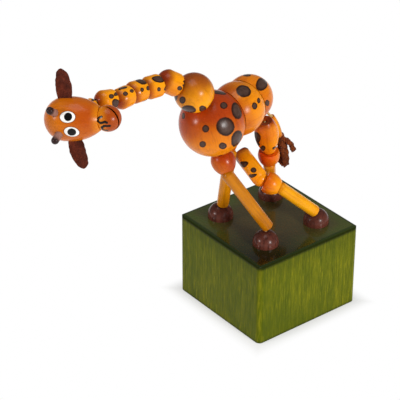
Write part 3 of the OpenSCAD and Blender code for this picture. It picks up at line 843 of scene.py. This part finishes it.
def base_top(s, reach):
    """Dark lacquer: brown lightened as a painted reflection, greener towards the edges, and darker towards
    the camera as a painted dark reflection.
    """
    grain = s.noise(s.stretched(TOP_GRAIN, 0.03), size=0.9 * MM, detail=4.0, rough=0.6)
    cloud = s.noise(s.place, size=12 * MM)
    out = s.math("ADD", s.math("DIVIDE", reach, BASE_HALF), s.swing(cloud, 0.7))
    # The brown is lightened as a painted reflection
    brown = s.mix(s.ramp(out, 0.5, 1.0), srgb("#4A4222"), srgb("#445019"))
    brown = s.over(brown, srgb("#564A28"), s.ramp(grain, 0.5, 0.8), 0.5)
    # Painted dark reflection: the top darkens towards the camera
    front = s.vector("DOT_PRODUCT", s.place, (CAMERA_BACK.x, CAMERA_BACK.y, 0))
    brown = s.over(brown, srgb("#120B03"), s.ramp(front, *TOP_DARK_REFLECTION), 0.95)
    return s.over(brown, srgb("#1E2C08"), s.below(reach, BASE_HALF, TOP_RIM), 0.8)


def base_pocket(s, z):
    """1 in the pocket and 0 on the outside."""
    from_axis = s.vector("LENGTH", s.vector("MULTIPLY", s.place, (1, 1, 0)))
    within = s.math("LESS_THAN", from_axis, POCKET_RADIUS)
    return s.math("MULTIPLY", within, s.math("LESS_THAN", z, POCKET_TOP))


def dress_base():
    s = Shader("base_stain")
    x, y, z = s.coordinates()
    x = s.math("ABSOLUTE", x)
    y = s.math("ABSOLUTE", y)
    grain = {}
    for kind, (size, share, detail, rough) in SIDE_GRAIN.items():
        grain[kind] = s.noise(s.stretched(UP, share), size, detail, rough)
    top = s.below(z, BASE_TOP, TOP_START)
    sides = base_sides(s, grain, s.math("MINIMUM", x, y), z)
    colour = s.mix(top, sides, base_top(s, s.math("MAXIMUM", x, y)))
    bare = s.mix(grain["streak"], srgb("#C9A46A"), srgb("#A9814A"))
    colour = s.mix(base_pocket(s, z), colour, bare)
    rough = s.add(0.16, grain["streak"], 0.22)
    height = s.add(grain["streak"], grain["fine"], 0.6)
    coat = s.math("MULTIPLY", top, TOP_COAT)
    wear("base_block", s.finish(colour, rough, height, BASE_BUMP, specular_ior_level=BASE_GLOSS,
                                coat_weight=coat, coat_roughness=TOP_COAT_ROUGH))


# Button, spring and strings

BUTTON_GRAIN = Vector((0.8, 0.6, 0))
# Scale and distortion of the waves in the string's lay
LAY_SCALE = 900
LAY_DISTORTION = 1.5


def dress_button():
    """Bare wood."""
    s = Shader("button_wood")
    rings = s.noise(s.stretched(BUTTON_GRAIN, 0.05), size=1.6 * MM, detail=4.0, rough=0.6)
    pores = s.noise(s.stretched(BUTTON_GRAIN, 0.03), size=0.4 * MM, detail=2.0)
    colour = s.mix(s.ramp(rings, 0.3, 0.75), srgb("#DDBB86"), srgb("#BE8F55"))
    colour = s.over(colour, srgb("#8A5F33"), s.ramp(pores, 0.58, 0.75), 0.6)
    wear("push_button", s.finish(colour, 0.55, rings, 0.1 * MM))


def dress_spring():
    """Drawn steel wire."""
    s = Shader("spring_steel")
    brushed = s.noise(s.place, size=0.6 * MM)
    colour = s.mix(brushed, srgb("#8E8F92"), srgb("#C4C5C8"))
    wear("return_spring", s.finish(colour, s.add(0.24, brushed, 0.15), brushed, 0.02 * MM, metallic=1.0))


def dress_strings():
    """Twisted string and its knots."""
    s = Shader("string")
    lay = s.node("ShaderNodeTexWave", wave_type="BANDS", bands_direction="DIAGONAL")
    s.feed(lay.inputs["Vector"], s.place)
    lay.inputs["Scale"].default_value = LAY_SCALE
    lay.inputs["Distortion"].default_value = LAY_DISTORTION
    fuzz = s.noise(s.place, size=0.3 * MM)
    colour = s.mix(fuzz, srgb("#B98A3E"), srgb("#E2BC74"))
    material = s.finish(colour, 0.8, lay.outputs["Fac"], 0.1 * MM, sheen_weight=0.3)
    for node in NODES:
        if "string" in node:
            wear(node, material)


# Ears and tail tuft are soft pieces in place of their CAD nodes

SOFT_ROUGH = 0.9
SOFT_SHEEN = 0.08
SOFT_GLOSS = 0.1
SOFT_BUMP = 0.4 * MM


def mesh_piece(name, verts, faces, body, slot, material, *stands_for):
    mesh = bpy.data.meshes.new(name)
    mesh.from_pydata([tuple(v) for v in verts], [], faces)
    mesh.update()
    fixed = bmesh.new()
    fixed.from_mesh(mesh)
    bmesh.ops.recalc_face_normals(fixed, faces=fixed.faces)
    fixed.to_mesh(mesh)
    fixed.free()
    mesh.polygons.foreach_set("use_smooth", [True] * len(mesh.polygons))
    mesh.materials.append(material)
    piece = bpy.data.objects.new(name, mesh)
    bpy.context.scene.collection.objects.link(piece)
    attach(piece, body)
    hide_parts(*stands_for)
    return piece


# Ears

EAR_STEPS = 44
EAR_ACROSS = 22
EAR_HALF_THICKNESS = 0.42 * MM
# Share of the thickness that the rim has, and the tip, which thins over this share of the length
EAR_THIN_RIM = 0.25
EAR_THIN_TIP = 0.4
EAR_THIN_LENGTH = 1 / 9
# Where along its length an ear is widest, its root's and tip's share of that width, and the powers that
# shape it from there to the tip
EAR_WIDEST = 0.40
EAR_ROOT = 0.70
EAR_TIP = 0.02
EAR_TAPER = 2.8
EAR_ROUNDING = 0.6
# How deep an ear is cupped, the square of the share across at which the cup is level, and how far
# into it the ear's root lies
EAR_CUP = 0.30
EAR_CUP_LEVEL = 0.35
EAR_CUP_ROOT = 0.12
# How far a whole bend moves the tip, and the power of the length that the lean follows
EAR_BEND = 4 * MM
EAR_LEAN_POWER = 2.4
# How far each tip bends towards the camera, as a share of a whole bend, and how far it leans to the
# right of the photograph, as a share of the half width
EAR_TIPS = {"left_ear": (0.10, -0.4), "right_ear": (-0.10, 0.1)}
# Unevenness of the suede: cells of noise in a metre, and height
EAR_NAP = (900, 0.15 * MM)
EAR_WAVES = (350, 0.24 * MM)
EAR_RAGGED = (700, 0.35 * MM)
# Power of the share across that keeps the ragged part at the rim
EAR_RAGGED_POWER = 6

# How an ear's CAD node lies: its centre and three directions, its lowest and highest place along, its
# half width across, and 1 or -1 for the way across that the photograph's right is
Lie = namedtuple("Lie", "centre along across normal low high wide right")


def suede():
    s = Shader("ear_suede")
    nap = s.noise(s.place, size=0.5 * MM, detail=4.0, rough=0.7)
    patches = s.noise(s.place, size=2.2 * MM)
    colour = s.mix(s.ramp(patches, 0.3, 0.75), srgb("#481A0E"), srgb("#682A18"))
    colour = s.over(colour, srgb("#86422A"), s.ramp(nap, 0.5, 0.75), 0.5)
    return s.finish(colour, SOFT_ROUGH, s.add(nap, patches, 1.2), SOFT_BUMP, sheen_weight=SOFT_SHEEN,
                    sheen_roughness=0.5, specular_ior_level=SOFT_GLOSS)


def ear_width(v):
    """Half width of an ear at a share of its length, as a share of the widest."""
    if v < EAR_WIDEST:
        return EAR_ROOT + (1 - EAR_ROOT) * math.sin(v / EAR_WIDEST * math.pi / 2)
    t = (v - EAR_WIDEST) / (1 - EAR_WIDEST)
    return max(max(1 - t ** EAR_TAPER, 0.0) ** EAR_ROUNDING, EAR_TIP)


def ear_lie(node):
    along, across, centre = long_axis(node)
    along = away_from_head(along, centre)
    normal = along.cross(across).normalized()
    if normal.dot(CAMERA_BACK) < 0:
        normal, across = -normal, -across
    offsets = [v.co - centre for v in NODES[node].data.vertices]
    runs = [off.dot(along) for off in offsets]
    wide = max(abs(off.dot(across)) for off in offsets)
    right = 1 if across.dot(CAMERA_RIGHT) > 0 else -1
    return Lie(centre, along, across, normal, min(runs), max(runs), wide, right)


def uneven(point, cells, height):
    return noise.noise(point * cells) * height


def ear_point(lie, bend, lean, layer, u, v):
    """Point on an ear's front (layer 1) or back (-1), at a share u of its half width and v of its length."""
    half = ear_width(v) * lie.wide
    sideways = u * half + lean * lie.right * v ** EAR_LEAN_POWER * lie.wide
    point = lie.centre + lie.along * (lie.low + v * (lie.high - lie.low)) + lie.across * sideways
    from_rim = max(1 - u * u, 0.0) ** 0.25
    from_tip = min(1.0, (1 - v) / EAR_THIN_LENGTH)
    thickness = EAR_HALF_THICKNESS * (EAR_THIN_RIM + (1 - EAR_THIN_RIM) * from_rim)
    thickness *= EAR_THIN_TIP + (1 - EAR_THIN_TIP) * from_tip
    lift = EAR_CUP * (u * u - EAR_CUP_LEVEL) * half * math.sin(math.pi * min(v + EAR_CUP_ROOT, 1))
    lift += bend * v * v * EAR_BEND + layer * thickness
    lift += uneven(point, *EAR_NAP) + uneven(point, *EAR_WAVES)
    ragged = math.copysign(u ** EAR_RAGGED_POWER, u) * uneven(point, *EAR_RAGGED)
    return point + lie.normal * lift + lie.across * ragged


def ear_faces():
    """Front, back, both sides and both ends of an ear's grid of points."""
    columns = EAR_ACROSS + 1

    def at(layer, i, j):
        return (layer * (EAR_STEPS + 1) + i) * columns + j

    faces = []
    for layer in (0, 1):
        for i in range(EAR_STEPS):
            for j in range(EAR_ACROSS):
                low = (at(layer, i, j), at(layer, i, j + 1))
                high = (at(layer, i + 1, j + 1), at(layer, i + 1, j))
                faces.append(low + high)
    for i in range(EAR_STEPS):
        for j in (0, EAR_ACROSS):
            faces.append((at(0, i, j), at(0, i + 1, j), at(1, i + 1, j), at(1, i, j)))
    for i in (0, EAR_STEPS):
        for j in range(EAR_ACROSS):
            faces.append((at(0, i, j), at(1, i, j), at(1, i, j + 1), at(0, i, j + 1)))
    return faces


def make_ears():
    material = suede()
    for node, (bend, lean) in EAR_TIPS.items():
        lie = ear_lie(node)
        verts = []
        for layer in (1, -1):
            for i in range(EAR_STEPS + 1):
                for j in range(EAR_ACROSS + 1):
                    verts.append(ear_point(lie, bend, lean, layer, 2 * j / EAR_ACROSS - 1, i / EAR_STEPS))
        piece = mesh_piece(node + "_suede", verts, ear_faces(), "head", "ear_leather", material, node)
        piece.modifiers.new("round", "SUBSURF").render_levels = 1


# Tuft

# Strands of twisted cord, as pixels of the photograph and millimetres towards the camera
TUFT = [
    [(280.3, 133.8, 0), (281.2, 141, 0.8), (281.8, 148, 1.0),
     (283.4, 155, 1.0), (284.2, 160, 0.7), (284.8, 165.3, 0.2)],
    [(279.9, 134, 0), (279.8, 141, -0.3), (279.8, 148, -0.5),
     (280.6, 155, -0.6), (282, 161, -0.4), (283, 164.5, -0.2)],
    [(280.7, 134, 0), (282.8, 140, -0.2), (284.6, 146, -0.2),
     (286, 152, -0.3), (286.5, 158, -0.3), (285.8, 163.4, -0.4)],
    [(280.6, 134, 0.2), (283, 138.4, 0.6), (286.8, 140.4, 0.9),
     (290, 143.4, 1.0), (292.2, 147, 0.5), (292.8, 150, 0)],
    [(280.2, 136, -0.3), (280.6, 147, -1.2), (279.8, 155, -1.5), (279, 161.8, -1.3)],
]
PATH_STEPS = 24
TUBE_SIDES = 12
# Height of a tube's ends, as a share of its radius
TUBE_CAP = 0.5
CORD_RADIUS = 0.9 * MM
PLIES = 3
PLY_PITCH = 2.8 * MM
# A ply's distance from the strand's middle and its own radius, as shares of the strand's radius
PLY_REACH = 0.62
PLY_RADIUS = 0.56
# Past this share of its length a strand comes loose, until its plies lie this share further out
LOOSE_FROM = 0.8
LOOSENESS = 0.35
# A ply swells by these shares of its radius: evenly, with a pitch, and unevenly, by cells of noise in a metre
LUMP = 0.22
LUMP_PITCH = 1.4 * MM
UNEVEN_LUMP = 0.25
UNEVEN_CELLS = 1500


def cord_material():
    s = Shader("tuft_cord")
    fibre = s.noise(s.place, size=0.35 * MM, detail=4.0, rough=0.7)
    shades = s.noise(s.place, size=1.8 * MM, detail=2.0)
    colour = s.mix(s.ramp(shades, 0.3, 0.75), srgb("#602A10"), srgb("#8A4216"))
    colour = s.over(colour, srgb("#A8602C"), s.ramp(fibre, 0.5, 0.75), 0.45)
    return s.finish(colour, SOFT_ROUGH, fibre, SOFT_BUMP, sheen_weight=SOFT_SHEEN,
                    sheen_roughness=0.45, specular_ior_level=SOFT_GLOSS)


def smooth_path(points):
    """Points on a smooth curve through others."""
    ends = [2 * points[0] - points[1]] + list(points) + [2 * points[-1] - points[-2]]
    path = []
    for i in range(1, len(ends) - 2):
        a, b, c, d = ends[i - 1:i + 3]
        for k in range(PATH_STEPS):
            t = k / PATH_STEPS
            path.append(0.5 * (2 * b + (c - a) * t + (2 * a - 5 * b + 4 * c - d) * t ** 2
                               + (3 * b - a - 3 * c + d) * t ** 3))
    path.append(ends[-2])
    return path


def frames_along(path):
    """Two directions across a path at each of its points, turning no more than the path does."""
    across = (path[1] - path[0]).orthogonal().normalized()
    frames = []
    for i in range(len(path)):
        run = (path[min(i + 1, len(path) - 1)] - path[max(i - 1, 0)]).normalized()
        across = (across - run * across.dot(run)).normalized()
        frames.append((across, run.cross(across)))
    return frames


def tube(verts, faces, path, radii):
    """Adds a closed tube round a path."""
    first = len(verts)
    for point, radius, (across, up) in zip(path, radii, frames_along(path)):
        for j in range(TUBE_SIDES):
            a = 2 * math.pi * j / TUBE_SIDES
            verts.append(point + (across * math.cos(a) + up * math.sin(a)) * radius)
    for i in range(len(path) - 1):
        low = first + i * TUBE_SIDES
        high = low + TUBE_SIDES
        for j in range(TUBE_SIDES):
            k = (j + 1) % TUBE_SIDES
            faces.append((low + j, low + k, high + k, high + j))
    for end, step in ((0, -1), (len(path) - 1, 1)):
        run = (path[end] - path[end - step]).normalized()
        verts.append(path[end] + run * radii[end] * TUBE_CAP)
        ring = first + end * TUBE_SIDES
        for j in range(TUBE_SIDES):
            faces.append((ring + j, ring + (j + 1) % TUBE_SIDES, len(verts) - 1))


def ply_of(path, strand, ply):
    """Path and radii of one ply, wound round the path of its strand."""
    run = [0.0]
    for a, b in zip(path, path[1:]):
        run.append(run[-1] + (b - a).length)
    # Each strand starts at a turn of its own, and each ply has lumps of its own
    start = 2 * math.pi * ply / PLIES + strand
    apart = Vector((7 * ply, 5 * strand, 0))
    twisted, radii = [], []
    for point, gone, (across, up) in zip(path, run, frames_along(path)):
        a = start + 2 * math.pi * gone / PLY_PITCH
        loose = 1 + LOOSENESS * max(gone / run[-1] - LOOSE_FROM, 0) / (1 - LOOSE_FROM)
        twisted.append(point + (across * math.cos(a) + up * math.sin(a)) * CORD_RADIUS * PLY_REACH * loose)
        lump = 1 + UNEVEN_LUMP * noise.noise(point * UNEVEN_CELLS + apart)
        lump += LUMP * math.sin(2 * math.pi * (gone / LUMP_PITCH + ply / PLIES))
        radii.append(CORD_RADIUS * PLY_RADIUS * lump)
    return twisted, radii


def make_tuft():
    root = far_end("tail_rod")
    verts, faces = [], []
    for strand, pixels in enumerate(TUFT):
        path = smooth_path([pixel_on_wall(x, y, root + CAMERA_LEVEL * out * MM) for x, y, out in pixels])
        for ply in range(PLIES):
            tube(verts, faces, *ply_of(path, strand, ply))
    mesh_piece("tail_tuft_cord", verts, faces, "tail", "tuft_cord", cord_material(), "tail_tuft")


# Floor and light

# Half the floor's width in metres, and how far it lies below the base
FLOOR_HALF = 6.0
FLOOR_DROP = 0.2 * MM
# Share of white light on the floor under the shadow
FAINT_SHADOW = 0.45
# Distances inside the base's outline, negative outside it, between which the shadow fades to white
SHADOW_FADE = (1 * MM, -7 * MM)
# Direction of each lamp, as shares of the photograph's right, of up and of back to the camera, its
# distance and size in metres, and its power
LAMPS = {
    "key": ((0.64, -0.12, 0.86), 0.7, (0.14, 0.14), 3.2),
    "top": ((-0.15, 1.0, 0.1), 0.7, (0.45, 0.35), 1.5),
    "fill": ((-0.84, 0.10, 0.50), 0.8, (0.10, 0.10), 1.8),
}
LAMP_AIM = Vector((0, -15, 60)) * MM
SKY_STRENGTH = 0.22


def floor_material():
    """White, with a faint shadow close to the base alone."""
    s = Shader("floor")
    plain = s.node("ShaderNodeBsdfDiffuse")
    cloud = s.noise(s.place, size=0.4, detail=2.0)
    s.feed(plain.inputs["Color"], s.mix(cloud, srgb("#F6F6F5"), srgb("#FAFAF9")))
    bright = s.node("ShaderNodeEmission")
    bright.inputs["Strength"].default_value = 1.0
    path = s.node("ShaderNodeLightPath")
    seen = s.together([path.outputs[f"Is {kind} Ray"] for kind in ("Camera", "Glossy", "Transmission")])
    x, y, _ = s.coordinates()
    reach = s.math("MAXIMUM", s.math("ABSOLUTE", x), s.math("ABSOLUTE", y))
    lit = s.add(FAINT_SHADOW, s.below(reach, BASE_HALF, SHADOW_FADE), 1 - FAINT_SHADOW)
    both = s.node("ShaderNodeMixShader")
    s.feed(both.inputs[0], s.math("MULTIPLY", seen, lit))
    s.feed(both.inputs[1], plain.outputs[0])
    s.feed(both.inputs[2], bright.outputs[0])
    s.tree.links.new(both.outputs[0], s.out.inputs["Surface"])
    return s.material


def make_stage():
    mesh = bpy.data.meshes.new("floor")
    corners = [(FLOOR_HALF * x, FLOOR_HALF * y, 0) for x, y in ((-1, -1), (1, -1), (1, 1), (-1, 1))]
    mesh.from_pydata(corners, [], [(0, 1, 2, 3)])
    mesh.materials.append(floor_material())
    floor = bpy.data.objects.new("floor", mesh)
    floor.location.z = -FLOOR_DROP
    bpy.context.scene.collection.objects.link(floor)


def make_light():
    for name, ((right, up, back), distance, size, power) in LAMPS.items():
        data = bpy.data.lights.new(name, "AREA")
        data.shape = "RECTANGLE"
        data.size, data.size_y = size
        data.energy = power
        light = bpy.data.objects.new(name, data)
        direction = (CAMERA_RIGHT * right + UP * up + CAMERA_BACK * back).normalized()
        light.location = LAMP_AIM + direction * distance
        light.rotation_euler = direction.to_track_quat("Z", "Y").to_euler()
        bpy.context.scene.collection.objects.link(light)
    world = bpy.data.worlds.new("studio")
    bpy.context.scene.world = world
    world.use_nodes = True
    sky = world.node_tree.nodes["Background"]
    sky.inputs["Color"].default_value = (1, 1, 1, 1)
    sky.inputs["Strength"].default_value = SKY_STRENGTH


make_camera()
dress_beads()
dress_legs()
dress_tail()
dress_head()
dress_horns()
dress_base()
dress_button()
dress_spring()
dress_strings()
make_ears()
make_tuft()
make_stage()
make_light()
bpy.context.scene.view_settings.view_transform = "Standard"
